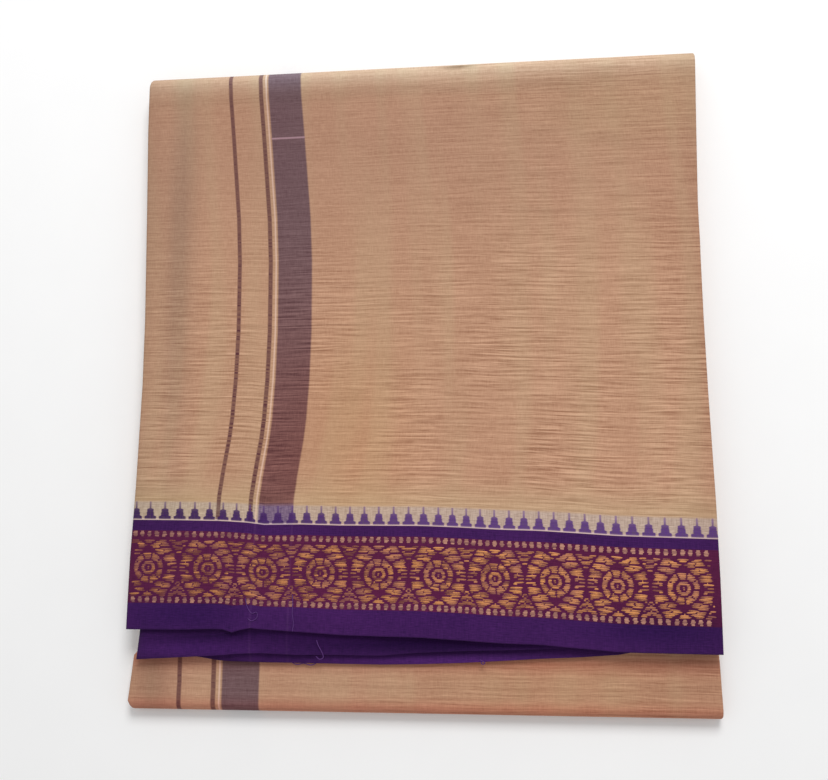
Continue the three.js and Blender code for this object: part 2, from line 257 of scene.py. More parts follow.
# How far the stripes bow to the side, from the selvedge up to the top fold.
BOW = {
    "y": [-116, -80, -54, -45, -28, -19, -2, 20, 51, 71, 90, 109, 128, 142.5],
    "x": [-8.6, -7.6, -6.6, -5.4, -2.7, -1.7, -0.6, 0.0, -0.3, -1.3, -3.0, -4.7, -6.5, -7.4],
}
BACK_BOW = {"y": [-142.5, 142.5], "x": [-22.6, -7.4]}  # they drift straight across the back

# Soft patches of painted light and shade (the highlight along the top fold, the shade in its nick,
# darker sides, broad lighter and darker stretches) and a greyish band where the plies beneath show
# through: centre, reach, and the share of red, green and blue added.
FRONT_PATCHES = {
    "x": [-106, 25, 20, 0, -121, 122, 0, 30, -98, 98, 0, -100, 0, -25, 95],
    "y": [50, 132, 139.9, 140, 20, 10, 112, -55, -102, -106, -100, -59, 130, -30, 116],
    "reach_x": [6.5, 22, 6.2, 170, 6, 6, 230, 140, 30, 34, 60, 40, 230, 26, 45],
    "reach_y": [95, 5, 1.3, 6.5, 160, 160, 60, 40, 8, 8, 10, 5, 5, 45, 16],
    "red": [-0.24, 0.06, -0.72, 0.36, -0.14, -0.09, -0.16, 0.05, -0.30, -0.38, 0.14, 0.03,
            -0.05, 0.02, -0.03],
    "green": [-0.19, 0.09, -1.0, 0.73, -0.13, -0.11, -0.17, 0.03, -0.36, -0.42, 0.05, 0.05,
              -0.03, -0.02, 0.02],
    "blue": [-0.16, 0.10, -1.2, 0.90, -0.12, -0.11, -0.14, 0.03, -0.14, -0.20, 0.15, -0.06,
             -0.04, -0.10, -0.02],
}
DARKEST = 0.12  # share of the light that any patch leaves


def tinted(x, y, table):
    """Share of each colour that a place keeps: one, and each patch's share times its bell."""
    p = {key: np.array(column, float) for key, column in table.items()}
    aside = (x[..., None] - p["x"]) / p["reach_x"]
    above = (y[..., None] - p["y"]) / p["reach_y"]
    bell = np.exp(-(aside**2) - above**2)
    added = np.stack([(bell * p[key]).sum(-1) for key in ("red", "green", "blue")], -1)
    return np.maximum(1 + added, DARKEST)


LEFT_TURN = PACK / 2  # all eight plies of a pack turn together on the left
RIGHT_TURN = PACK / 4  # four of them on the right
FREE_EDGE = float(edge("top", 0.0))
ROW_PITCH = 0.56
TOP_STEPS = 24  # round the top fold
UNDER_STEPS = 4
FLAT_COLUMNS = 60
TURN_STEPS = 8


def ply_points(stations, turns, lift, shift=None):
    """Points of a ply carried along stations: each section stands at its station, dropped along
    the inward direction, and settles. Gives the points and the laid-out place across. lift
    raises its creases, which die off inwards, and shift moves it along the packet."""
    y0, z0, out_y, out_z = (column[:, None] for column in stations.T)
    left, right = (outline(side, stations[:, 0], stations[:, 1]) for side in ("left", "right"))
    x, drop, laid = section(left, right, *turns)
    y = y0 - out_y * drop + (0 if shift is None else shift(x))
    z = settle(x, y, z0 - out_z * drop) + lift(x, y, out_z) * np.exp(-drop)
    return np.stack([x, y, z], -1), laid


front_path = np.vstack([
    flat(FREE_EDGE, TOP_CENTRE, HEIGHT, 1, round((TOP_CENTRE - FREE_EDGE) / ROW_PITCH))[:-1],
    arc(TOP_CENTRE, HEIGHT / 2, HEIGHT / 2, 90, -90, TOP_STEPS)[:-1],
    flat(TOP_CENTRE, UNDER_TOP, 0, -1, UNDER_STEPS),
])
seam = FREE_EDGE + BORDER_DEPTH
hold = np.clip((TOP_CENTRE - front_path[:, :1]) / (TOP_CENTRE - seam), 0, 1)
hold[front_path[:, 3] <= 0] = 0
way = path_length(front_path)[:, None]
points, laid = ply_points(
    front_path,
    (LEFT_TURN, RIGHT_TURN, FLAT_COLUMNS, TURN_STEPS),
    lift=lambda x, y, out_z: creased(x, y, CREASES) * np.clip(out_z, 0, 1),
    shift=lambda x: hold * (edge("band", x) - FREE_EDGE + drawn_up(x, way)),
)
depth = np.broadcast_to(way, laid.shape)
bow = np.interp(front_path[:, :1], BOW["y"], BOW["x"])
under = front_path[:, 3:] <= 0
bow = np.where(under, np.interp(front_path[:, :1], BACK_BOW["y"], BACK_BOW["x"]), bow)
front_cloth = sheet_mesh(
    "front_cloth", points,
    cloth=np.stack([laid - bow, depth, repeat_at(laid)], -1),
    tint=tinted(points[..., 0], points[..., 1], FRONT_PATCHES),
)
thicken(front_cloth)


def screen_colour(red, green, blue):
    """A colour given as 0 to 255 on a screen, as the light that it sends back."""
    share = np.array([red, green, blue]) / 255
    light = np.where(share < 0.04045, share / 12.92, ((share + 0.055) / 1.055) ** 2.4)
    return (*(float(c) for c in light), 1.0)


class Socket:
    """A value in a material. Arithmetic on it adds the Math nodes that work it out."""

    def __init__(self, finish, link):
        self.finish, self.link = finish, link

    def math(self, operation, *others):
        values = dict(enumerate([self, *others]))
        return self.finish.node("ShaderNodeMath", {"operation": operation}, values)

    def __add__(self, other):
        return self.math("ADD", other)

    def __sub__(self, other):
        return self.math("SUBTRACT", other)

    def __rsub__(self, other):
        return self * -1 + other

    def __mul__(self, other):
        return self.math("MULTIPLY", other)

    __radd__, __rmul__ = __add__, __mul__

    def clamp(self):
        return self.finish.node("ShaderNodeClamp", {}, {"Value": self})

    def size(self):
        return self.math("ABSOLUTE")

    def from_middle(self):
        """Signed distance to the nearest whole number."""
        return (self + 0.5).math("FRACT") - 0.5

    def rises(self, low, high):
        """Nought below low, one above high, and a soft step between."""
        settings = {"interpolation_type": "SMOOTHSTEP"}
        return self.finish.node("ShaderNodeMapRange", settings, {"Value": self, 1: low, 2: high})

    def between(self, low, high, soft):
        """One between low and high, with soft edges."""
        return self.rises(low - soft, low + soft) * (1 - self.rises(high - soft, high + soft))


class Finish:
    """A material. node() adds any node with its settings and the values or links of its sockets."""

    def __init__(self, name, **constants):
        self.material = bpy.data.materials.new(name)
        self.material.use_nodes = True
        self.tree = self.material.node_tree
        self.shader = self.tree.nodes["Principled BSDF"]
        for key, value in constants.items():
            self.shader.inputs[key.replace("_", " ")].default_value = value

    def node(self, kind, settings, values, output=0):
        made = self.tree.nodes.new(kind)
        for key, value in settings.items():
            setattr(made, key, value)
        self.feed(made, values)
        return Socket(self, made.outputs[output])

    def feed(self, made, values):
        for key, value in values.items():
            if isinstance(value, Socket):
                self.tree.links.new(value.link, made.inputs[key])
            else:
                made.inputs[key].default_value = value

    def mix(self, share, first, second):
        values = {0: share, 6: first, 7: second}
        return self.node("ShaderNodeMix", {"data_type": "RGBA"}, values, 2)

    def scaled(self, vector, sizes):
        return self.node("ShaderNodeVectorMath", {"operation": "MULTIPLY"}, {0: vector, 1: sizes})

    def noise(self, vector, sizes, detail=2.0):
        values = {"Vector": self.scaled(vector, sizes), "Scale": 1.0, "Detail": detail}
        return self.node("ShaderNodeTexNoise", {}, values)

    def parts(self, vector):
        split = self.tree.nodes.new("ShaderNodeSeparateXYZ")
        self.tree.links.new(vector.link, split.inputs[0])
        return [Socket(self, s) for s in split.outputs]

    def attribute(self, name, output):
        return self.node("ShaderNodeAttribute", {"attribute_name": name}, {}, output)


# Stripes woven across the cloth, by place along it: middle, half width.
THIN_STRIPES = ((-77.5, 0.9), (-63.4, 0.95))
PALE_LINE = (-60.9, 0.32)
BROAD_STRIPE = (-59.9, -44.7)
SLUB = 219.9  # a thick pale pick across the broad stripe, by distance from the selvedge

# Zones of the border by distance from the selvedge.
ROWS_OF_DOTS = (11.0, 41.7)
PALE_EDGE = (46.2, 46.9)
TEMPLE = (46.9, 54.2)
KHAKI_END = 70.0
SPIKES_PER_REPEAT = 4
RIB_PITCH = 2.05

# Steps of a temple spike: height where each begins, and how much its half width shrinks there.
SPIKE_STEPS = ((1.75, 0.9), (3.3, 0.2), (4.9, 1.05), (8.0, 0.7))
SPIKE_FOOT = 2.55
STEP_SOFT = 0.26
SPIKE_SOFT = 0.3
WEAVE_DEPTH = 0.12  # height of the threads in the bump


def lungi_cotton():
    """Cotton of the whole cloth. Every zone is a mask on its place along and across the cloth,
    and ribs, warp and weft are noise stretched along the threads."""
    f = Finish("lungi_cotton", Roughness=0.9, Sheen_Weight=0.04, Sheen_Roughness=0.5)
    f.shader.inputs["Specular IOR Level"].default_value = 0.1
    cloth = f.attribute("cloth", 1)
    along, depth, repeat = f.parts(cloth)
    ply = f.scaled(cloth, (1, 1, 0))
    sway = f.noise(ply, (0.025, 0.02, 1), 1.0)
    swayed = f.node("ShaderNodeCombineXYZ", {}, {0: along, 1: depth + sway * 2.5, 2: 0.0})

    wander = f.noise(swayed, (0.022, 0.42, 1), 1.0)
    ribs = (depth * (2 * np.pi / RIB_PITCH) + wander * 11.0).math("SINE") * 0.16
    ribs = ribs * f.noise(swayed, (0.08, 0.4, 1), 1.0).rises(0.3, 0.6)
    fine_ribs = f.noise(swayed, (0.06, 1.8, 1), 1.0) - 0.5
    weft = f.noise(ply, (0.35, 3.2, 1), 1.0) - 0.5
    warp = f.noise(ply, (3.0, 0.22, 1), 1.0) - 0.5
    blotch = f.noise(ply, (0.02, 0.02, 1), 3.0) - 0.5
    patchy = f.noise(ply, (0.03, 0.018, 1), 1.0)
    low_down = 1 - depth.rises(120, 200)
    rib_strength = (0.1 + 0.8 * low_down) * patchy.rises(0.25, 0.6) + 0.25
    rib_strength = rib_strength + along.rises(-30, 70) * 0.3
    thread = weft * 0.9 + warp * 0.7
    relief = (ribs * 2.2 + fine_ribs * 1.9) * rib_strength + thread

    # Where the relief sets the colour, here and in the stripes below, it paints the ribs' light and shade
    # into it, along with the yarn's own streaks.
    tan = f.mix((0.5 + relief * 0.68 + blotch * 0.3).clamp(), screen_colour(158, 113, 88), screen_colour(211, 167, 137))
    khaki = f.mix((0.5 + relief * 0.5).clamp(), screen_colour(172, 140, 108), screen_colour(206, 176, 142))
    streak = f.noise(ply, (0.07, 0.005, 1), 1.0).rises(0.42, 0.68) * 0.4
    khaki_share = streak + (1 - streak) * (1 - depth.rises(TEMPLE[1] - 2, KHAKI_END)) * 0.8
    field = f.mix(khaki_share, tan, khaki)
    temple_ground = f.mix((0.5 + thread * 1.4).clamp(), screen_colour(158, 134, 120), screen_colour(210, 188, 172))
    temple_share = depth.between(TEMPLE[0], TEMPLE[1], 0.7)
    field = f.mix(temple_share, field, temple_ground)

    thin = 0
    for middle, half in THIN_STRIPES:
        thin = thin + along.between(middle - half, middle + half, 0.3)
    beads = (0.78 + relief * 0.5).clamp()
    low_stripe = 1 - depth.rises(60, 190)
    broad = along.between(*BROAD_STRIPE, 0.45)
    plum_low = f.mix((0.5 + relief * 0.85).clamp(), screen_colour(80, 41, 48), screen_colour(136, 90, 88))
    plum_high = f.mix((0.5 + relief * 0.85).clamp(), screen_colour(84, 58, 66), screen_colour(124, 98, 104))
    plum = f.mix(low_stripe, plum_high, plum_low)
    above_temple = depth.rises(TEMPLE[1] - 0.8, TEMPLE[1] + 1.6)
    plum_temple = f.mix((0.5 + thread * 1.6).clamp(), screen_colour(70, 46, 96), screen_colour(146, 122, 150))
    plum = f.mix(above_temple, plum_temple, plum)
    field = f.mix(broad * 0.93, field, plum)
    slub = broad * depth.between(SLUB - 0.42, SLUB + 0.42, 0.25)
    field = f.mix(slub * 0.55, field, screen_colour(204, 164, 172))
    field = f.mix(thin * beads, field, screen_colour(92, 52, 58))
    pale_line = along.between(PALE_LINE[0] - PALE_LINE[1], PALE_LINE[0] + PALE_LINE[1], 0.25)
    field = f.mix(pale_line * 0.65, field, screen_colour(230, 196, 178))

    from_spike = (repeat * SPIKES_PER_REPEAT).from_middle().size() * (REPEAT / SPIKES_PER_REPEAT)
    above_foot = depth - PALE_EDGE[0]
    half_width = SPIKE_FOOT
    for height, shrink in SPIKE_STEPS:
        half_width = half_width - shrink * above_foot.rises(height - STEP_SOFT, height + STEP_SOFT)
    paler = along.rises(-100, 20) * 0.55
    needle = above_foot.rises(3.4, 8.4)
    spike_shade = (0.05 + paler + needle * 0.5 + thread * 0.9).clamp()
    spike_yarn = f.mix(spike_shade, screen_colour(50, 18, 80), screen_colour(104, 68, 138))
    spike = (half_width - from_spike + thread * 0.6).rises(-SPIKE_SOFT, SPIKE_SOFT)
    spike = spike * above_foot.rises(0.2, 0.5) * (0.95 + thread * 0.4).clamp() * (1 - needle * 0.4)
    field = f.mix(spike, field, spike_yarn)

    purple = f.mix((0.5 + thread * 1.4 + blotch * 1.3).clamp(), screen_colour(48, 19, 70), screen_colour(74, 33, 96))
    motif_ground = f.mix((0.5 + thread).clamp(), screen_colour(74, 21, 50), screen_colour(109, 36, 63))
    purple = f.mix(depth.between(*ROWS_OF_DOTS, 0.2) * 0.75, purple, motif_ground)
    crossing = along.between(PALE_LINE[0] - 0.5, PALE_LINE[0] + 0.5, 0.3)
    crossing = crossing + along.between(BROAD_STRIPE[1] - 0.5, BROAD_STRIPE[1] + 0.3, 0.3)
    purple = f.mix(crossing * 0.09, purple, screen_colour(128, 84, 138))
    pale_edge = depth.between(*PALE_EDGE, 0.14) * (1 - spike * 0.8)
    colour = f.mix(1 - depth.rises(PALE_EDGE[0] - 0.1, PALE_EDGE[0] + 0.1), field, purple)
    colour = f.mix(pale_edge * 0.75, colour, screen_colour(216, 192, 194))
    # Painted light and shade, with the cloth's own greyer hue in places, multiplied into the colour.
    tint = f.attribute("tint", 1)
    colour = f.node("ShaderNodeVectorMath", {"operation": "MULTIPLY"}, {0: colour, 1: tint})
    bump = f.node("ShaderNodeBump", {}, {"Height": relief, "Strength": 0.55, "Distance": WEAVE_DEPTH * MM})
    f.feed(f.shader, {"Base Color": colour, "Normal": bump})
    return f.material


cotton = lungi_cotton()
front_cloth.data.materials.append(cotton)
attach(front_cloth, "root")
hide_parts("front_field", "front_border")

# Brocade of the border
# Gold thread laid in with the weft, pick by pick. Each float passes over a few warp threads
# and dips under one; together they draw the medallions, leaves and fans, and the rows of dots.

PICK = 0.7  # from one gold pick to the next
DOT_PICK = 0.6
FLOAT_LENGTH = 7.2  # the longest float before it is bound down
SHORTEST_FLOAT = 0.35
MOTIF = (14.3, 37.6)
MOTIF_MIDDLE = sum(MOTIF) / 2
HALF_REPEAT = REPEAT / 2
DOTS_PER_REPEAT = 8
DOT_HALF_LENGTHS = (0.78, 1.04, 1.04, 0.78)  # of the picks of a dot
DOT_ROWS = (ROWS_OF_DOTS[0] + 0.55, ROWS_OF_DOTS[1] - 2.35)  # where each row's first pick lies

# Gold leaves in one quarter of a repeat, from the medallion's middle, with their half sizes.
# The last is the lens over a medallion.
LEAVES = {
    "across": [4.7, 6.6, 9.3, 9.4, 0.0],
    "up": [10.0, 7.3, 4.0, 1.9, 11.3],
    "half_width": [2.7, 2.3, 2.1, 1.5, 2.7],
    "half_height": [1.3, 1.1, 1.5, 0.7, 0.9],
}


def leaf_reach(across, up):
    """Distance from the middle of each leaf in its half sizes, the nearest leaf first."""
    leaves = {key: np.array(column)[:, None] for key, column in LEAVES.items()}
    aside = (np.abs(across) - leaves["across"]) / leaves["half_width"]
    above = (np.abs(up) - leaves["up"]) / leaves["half_height"]
    return np.sort(np.hypot(aside, above), axis=0)


def roundness(across, up):
    """How full the gold stands, up to 1: most along the middle of a leaf or ring, less by the
    square of the distance from there, and little in the fan and the cross."""
    reach = np.hypot(across, up)
    heart = 0.6 - ((reach - 2.2) / 1.5) ** 2
    ring = 0.72 - ((reach - 5.2) / 1.8) ** 2
    leaf = 1 - (leaf_reach(across, up)[0] / 1.5) ** 2
    return np.clip(np.where(reach < 3.7, heart, np.where(reach < 6.7, ring, leaf)), 0.3, 1)


def is_gold(across, up):
    """Where gold shows in a repeat, folded to one quarter. It fills the ground but for purple
    lines: round two rings, between neighbouring leaves, along the cross of two repeats and in
    the chevrons of the fan above it, and but for purple blocks by the rings and the cross."""
    side, high = np.abs(across), np.abs(up)
    reach = np.hypot(across, up)
    angle = np.arctan2(up, across)
    within = np.hypot(across / 4.05, up / 3.5) < 1
    ring = (reach < 6.45) & ~within & (np.abs(np.sin(4.5 * angle + 0.4)) > 0.1)
    heart = (np.abs(reach - 2.2) < 0.8) | (reach < 0.6)
    far = leaf_reach(across, up)
    gap = HALF_REPEAT - side
    cross = 0.35 + (high - 4.8) * 0.62
    fan = (high > 5.9) & (gap < cross - 0.25) & (np.mod((high - 0.4 * gap) / 2.2, 1) > 0.26)
    dash = (gap < 3.1) & (gap > 0.3) & (np.mod(high + 0.35, 1.4) < 0.7) & (high < 1.8)
    block = (side < 1.2 + 0.45 * (9.0 - high)) & (np.abs(high - 8.1) < 1.15)
    node = gap / 1.5 + np.abs(high - 4.4) / 2.4 < 1
    wing = np.abs(side - 7.4) / 1.0 + high / 2.0 < 1
    leaf = (reach > 6.95) & (far[0] < 1.8) & (far[1] - far[0] > 0.44) & (gap > cross + 0.4)
    beside = (gap < 3.1) & (high < 1.9)
    return ring | heart | fan | dash | (leaf & ~beside & ~block & ~node & ~wing)


def runs(mask, places):
    """Start and end of each run of True along places."""
    turns = np.diff(np.concatenate([[0], mask.astype(int), [0]]))
    return places[np.flatnonzero(turns == 1)], places[np.flatnonzero(turns == -1) - 1]


def bound_down(start, end, phase):
    """Cuts runs longer than a float at even places, so that none is longer than FLOAT_LENGTH."""
    count = np.maximum(1, np.ceil((end - start + phase) / FLOAT_LENGTH).astype(int))
    owner = np.repeat(np.arange(len(start)), count)
    order = np.arange(len(owner)) - np.repeat(np.cumsum(count) - count, count)
    length = ((end - start) / count)[owner]
    return start[owner] + order * length, start[owner] + (order + 1) * length


def brocade_floats():
    """Middle, half length and distance from the selvedge of every float."""
    rng = np.random.default_rng(5)
    reach = np.arange(-0.45, len(MEDALLIONS) - 0.35, 0.1 / REPEAT)
    floats = []
    for k, v in enumerate(np.arange(MOTIF[0], MOTIF[1], PICK)):
        across = (np.mod(reach + 0.5, 1) - 0.5) * REPEAT
        start, end = runs(is_gold(across, v - MOTIF_MIDDLE), reach * REPEAT)
        keep = end - start > SHORTEST_FLOAT
        start, end = bound_down(start[keep], end[keep], 0.8 * (k % 2))
        floats.append(np.stack([(start + end) / 2, (end - start) / 2, np.full_like(start, v)], 1))
    count = DOTS_PER_REPEAT * len(MEDALLIONS)
    dots = np.arange(-3, count - 4) * REPEAT / DOTS_PER_REPEAT
    for row in DOT_ROWS:
        for pick, half_length in enumerate(DOT_HALF_LENGTHS):
            v = row + pick * DOT_PICK
            half = half_length + 0.06 * rng.standard_normal(len(dots))
            floats.append(np.stack([dots, half, np.full_like(dots, v)], 1))
    floats = np.vstack(floats)
    floats[:, 0] += rng.normal(0, 0.1, len(floats))
    floats[:, 2] += rng.normal(0, 0.035, len(floats))
    return floats, rng


STATIONS = np.array([-1.0, -0.7, 0.0, 0.7, 1.0])  # along a float
FULLNESS = np.array([0.5, 0.95, 1.0, 0.95, 0.5])  # its width at each
ARCH = np.array([-0.1, 0.8, 1.0, 0.8, -0.1])  # its rise at each
CROWN = np.array([-0.03, 1.0, -0.03])  # its rise from side to side
POINTS_A_FLOAT = len(STATIONS) * len(CROWN)
FLOAT_HALF_WIDTH = 0.36
FLOAT_RISE = 0.16
FLUSH = 0.006  # points that rise less are tucked into the cloth
TUCKED = -0.02
DOT_FULL = 0.6
# Painted glint of a float: its colour is at least DULLEST, and up to SHEEN more where the gold stands
# fuller.
DULLEST = 0.14
SHEEN = 0.66

# Painted shade and light: the gold is darker towards the left and lighter towards the right.
LIGHT_ALONG = {"x": [-125, -60, 0, 60, 125], "more": [-0.26, -0.22, -0.06, 0.02, 0.08]}


def float_mesh(name, floats, rng, limits, rounded):
    """One low ridge for each float: five stations by three points, full in the middle and
    dipping into the cloth at its ends. Rounded floats stand highest along a leaf's middle, and
    are painted lightest there, as a highlight."""
    place = np.interp(floats[:, 0] / REPEAT, np.arange(len(MEDALLIONS)), MEDALLIONS)
    place += np.minimum(floats[:, 0], 0)
    place += np.maximum(floats[:, 0] - REPEAT * (len(MEDALLIONS) - 1), 0)
    keep = (place - floats[:, 1] > limits[0]) & (place + floats[:, 1] < limits[1])
    place, floats = place[keep], floats[keep]
    lean = rng.normal(0, 0.05, len(place))
    reach = floats[:, 1, None, None] * STATIONS[:, None] + np.zeros(3)
    x = place[:, None, None] + reach
    over = np.array([-1.0, 0.0, 1.0]) * FLOAT_HALF_WIDTH * FULLNESS[:, None]
    v = floats[:, 2, None, None] + over + lean[:, None, None] * reach
    y = edge("band", x) + v + drawn_up(x, v)
    rise = CROWN * FLOAT_RISE * ARCH[:, None]
    full = np.full(x.shape, DOT_FULL)
    if rounded:
        along = (floats[:, 0, None, None] + reach) / REPEAT
        across = (np.mod(along + 0.5, 1) - 0.5) * REPEAT
        full = roundness(across.ravel(), v.ravel() - MOTIF_MIDDLE).reshape(x.shape)
    z = top_height(x, y) + np.where(np.abs(rise) < FLUSH, TUCKED, rise * (0.4 + full))
    points = np.stack([x, y, z], -1)
    first = np.arange(len(place))[:, None] * POINTS_A_FLOAT
    corner = (np.arange(4)[:, None] * 3 + np.arange(2)).ravel()
    a = (first + corner).ravel()
    faces = np.stack([a, a + 3, a + 4, a + 1], 1)
    piece = mesh_piece(name, points.reshape(-1, 3), faces)
    painted_glint_and_shade = piece.data.attributes.new("painted_glint_and_shade", "FLOAT", "POINT")
    # Painted glint and shade in each float's colour: lighter or darker at random, as the glint it catches,
    # darker towards the left, and lighter where the gold stands fuller.
    light = rng.normal(0, 0.22, len(place)) + np.interp(place, LIGHT_ALONG["x"], LIGHT_ALONG["more"])
    light = np.clip(light[:, None, None] + DULLEST + full * SHEEN, 0, 1)
    painted_glint_and_shade.data.foreach_set("value", light.ravel().astype(np.float32))
    return piece


def gold_thread():
    """Gold thread: a metal strip wound on cotton, so some of its shine is metal, and each float's
    colour carries its own painted glint and shade. In places the gold is worn to its pinkish cotton."""
    f = Finish("gold_thread", Roughness=0.5, Metallic=0.25)
    painted_glint_and_shade = f.attribute("painted_glint_and_shade", 2)
    along = f.node("ShaderNodeTexCoord", {}, {}, 3)
    twist = f.noise(along, (2200, 2200, 2200), 1.0)
    # Painted glint and shade: the colour runs from the gold in shade to the gold catching light.
    colour = f.mix((painted_glint_and_shade * 1.2 + twist - 0.6).clamp(), screen_colour(110, 49, 46), screen_colour(212, 141, 79))
    worn = f.noise(along, (110, 110, 110), 1.0).rises(0.45, 0.7) * 0.4
    colour = f.mix(worn, colour, screen_colour(166, 102, 92))
    f.feed(f.shader, {"Base Color": colour})
    return f.material


floats, rng = brocade_floats()
CLEAR = 0.3  # of the motif, by which a float belongs to the dots
is_dot = (floats[:, 2] < MOTIF[0] - CLEAR) | (floats[:, 2] > MOTIF[1] + CLEAR)
BORDER_SIDES = (-122.6, 122.8)
brocade = float_mesh("brocade", floats[~is_dot], rng, BORDER_SIDES, True)
brocade.data.materials.append(gold_thread())
dots = float_mesh("brocade_dots", floats[is_dot], rng, BORDER_SIDES, False)


def dull_thread():
    """The paler thread of the dots: the same gold, worn matt and thin over the purple, its colour set by
    its painted glint and shade.
    """
    f = Finish("dull_gold_thread", Roughness=0.65, Metallic=0.1)
    painted_glint_and_shade = f.attribute("painted_glint_and_shade", 2)
    colour = f.mix(painted_glint_and_shade, screen_colour(116, 66, 70), screen_colour(196, 142, 118))
    f.feed(f.shader, {"Base Color": colour})
    return f.material


dots.data.materials.append(dull_thread())
for piece in (brocade, dots):
    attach(piece, "root")

# Lower cloth
# The same outer ply further on: it comes from the floor round the lower fold and lies bare in
# front of the selvedges, with the same stripes a little further to the left.

LOWER_CENTRE = LOWER_FOLD + LOWER_HEIGHT / 2
UNDER_LOWER = -125.0
LOWER_BACK = -97.3
LOWER_STRIPES = {"middle": -75.1, "middle_on_cloth": -52.9, "stretch": 0.94}
LOWER_START = 150.0  # the lower cloth's first row, by distance from the selvedge
LOWER_STEPS = (5, 20, 70)
LOWER_CREASES = {
    "x": [-40, 60, -100, 20, 95, -60, 110, 0],
    "y": [-137, -136, -131, -129, -128, -126, -133, -124],
    "turn": [0, 1, -8, 2, -3, 3, 8, 0],
    "reach": [50, 60, 16, 70, 22, 30, 14, 90],
    "width": [1.8, 2.0, 2.2, 2.4, 2.0, 1.8, 2.2, 3.0],
    "rise": [0.22, -0.2, -0.3, 0.18, 0.2, -0.15, -0.25, -0.2],
}
# Patches of painted shade on the lower cloth: along the underside of the lower fold, the shadow below the
# selvedges and at its sides, darker and greyer at the left where the plies beneath show through: centre,
# reach, and the share of red, green and blue added.
LOWER_PATCHES = {
    "x": [0, 0, -113, 115, 60, -95],
    "y": [-141, -121, -130, -130, -130, -126],
    "reach_x": [220, 220, 9, 14, 60, 12],
    "reach_y": [3.5, 4, 16, 16, 20, 14],
    "red": [-0.04, -0.10, -0.30, -0.06, 0.00, 0.00],
    "green": [-0.30, -0.33, -0.34, -0.10, -0.05, -0.02],
    "blue": [-0.29, -0.31, -0.32, -0.10, -0.10, 0.00],
}

lower_path = np.vstack([
    flat(UNDER_LOWER, LOWER_CENTRE, 0, -1, LOWER_STEPS[0])[:-1],
    arc(LOWER_CENTRE, LOWER_HEIGHT / 2, LOWER_HEIGHT / 2, -90, -270, LOWER_STEPS[1])[:-1],
    flat(LOWER_CENTRE, LOWER_BACK, LOWER_HEIGHT, 1, LOWER_STEPS[2]),
])
points, laid = ply_points(
    lower_path,
    (LOWER_HEIGHT / 4, LOWER_HEIGHT / 8, FLAT_COLUMNS, TURN_STEPS),
    lift=lambda x, y, out_z: creased(x, y, LOWER_CREASES) * np.clip(out_z, 0, 1),
)
from_stripe = (laid - LOWER_STRIPES["middle"]) * LOWER_STRIPES["stretch"]
on_cloth = LOWER_STRIPES["middle_on_cloth"] + from_stripe
depth = LOWER_START + path_length(lower_path)[:, None] + 0 * laid
lower_cloth = sheet_mesh(
    "lower_cloth", points,
    cloth=np.stack([on_cloth, depth, repeat_at(laid)], -1),
    tint=tinted(points[..., 0], points[..., 1], LOWER_PATCHES),
)
thicken(lower_cloth)
lower_cloth.data.materials.append(cotton)
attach(lower_cloth, "root")
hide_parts("lower_fold")

# Back cloth
# The outer ply on the floor, from under the top fold to under the lower one. It lies flat,
# pressed by the packet's weight, and its sides turn up round the lowest pack.

BACK_CREASES = {
    "x": [-60, 40, 90, -90, 10, 70, -30, 100],
    "y": [90, 70, 20, -10, -40, -80, -100, -60],
    "turn": [2, -4, 6, -3, 1, -2, 4, 85],
    "reach": [50, 60, 25, 25, 70, 40, 50, 30],
    "width": [2.2, 2.6, 2.4, 2.2, 2.8, 2.4, 2.6, 2.4],
    "rise": [0.16, 0.2, 0.14, 0.16, 0.2, 0.14, 0.18, 0.15],
}
SEAM = 0.03  # gap to the front and the lower cloth
BACK_ROWS = 120
BACK_COLUMNS = 48
FAR_FROM_BORDER = 260.0
BACK_DRIFT = 0.4  # share of Y added, so the ribs don't repeat
BACK_SHADE = (0.97, 0.96, 0.95)
back_path = flat(UNDER_TOP - SEAM, UNDER_LOWER + SEAM, 0, -1, BACK_ROWS)
points, laid = ply_points(
    back_path,
    (LEFT_TURN, RIGHT_TURN, BACK_COLUMNS, TURN_STEPS),
    lift=lambda x, y, out_z: creased(x, y, BACK_CREASES),
)
bow = np.interp(back_path[:, :1], BACK_BOW["y"], BACK_BOW["x"])
depth = FAR_FROM_BORDER + 0 * laid - points[..., 1] * BACK_DRIFT
back_cloth = sheet_mesh(
    "back_cloth", points,
    cloth=np.stack([laid - bow, depth, repeat_at(laid)], -1),
    tint=np.array(BACK_SHADE),
)
thicken(back_cloth)
back_cloth.data.materials.append(cotton)
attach(back_cloth, "root")
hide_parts("back_panel")

# Selvedge plies
# The plies of the packs below end in selvedges of their own, a little apart, so that two
# purple edges show under the first, and more lie between them. Each lies on the next one.

# A ply: the edge that it follows, how far its edge lies back from it, its height, how far its
# ends stand in, and the height of the wave in its edge.
PLIES = {
    "name": ["second_selvedge", "third_selvedge", "under_first_a", "under_first_b",
             "under_second_a", "under_second_b", "under_second_c",
             "under_third_a", "under_third_b", "under_third_c"],
    "follows": ["second", "third", "top", "top", "second", "second", "second",
                "third", "third", "third"],
    "back": [0.0, 0.0, 1.3, 2.4, 0.9, 1.7, 0.6, 0.8, 1.6, 0.7],
    "height": [11.4, 9.3, 12.5, 12.0, 10.95, 10.5, 10.05, 8.85, 8.4, 7.9],
    "inset": [0.0, 0.0, 4.5, 5.2, 1.0, 1.6, 1.2, 1.0, 1.5, 1.1],
    "wave": [0.0, 0.0, 0.3, 0.4, 0.3, 0.4, 0.3, 0.3, 0.4, 0.35],
}
STACK_SIDES = (-118.0, 121.0)
STACK_LEAN = 0.1  # their left ends slant out towards the edge
PLY_BACK = -93.0
EDGE_TURN = 0.17  # the selvedge cord, rolled by the loom
SELVEDGE_PLY = 0.16  # thickness
PLY_COLUMNS = 97
INWARD = [1.5, 4, 8, 12, 16, 22]  # rows behind the rolled edge
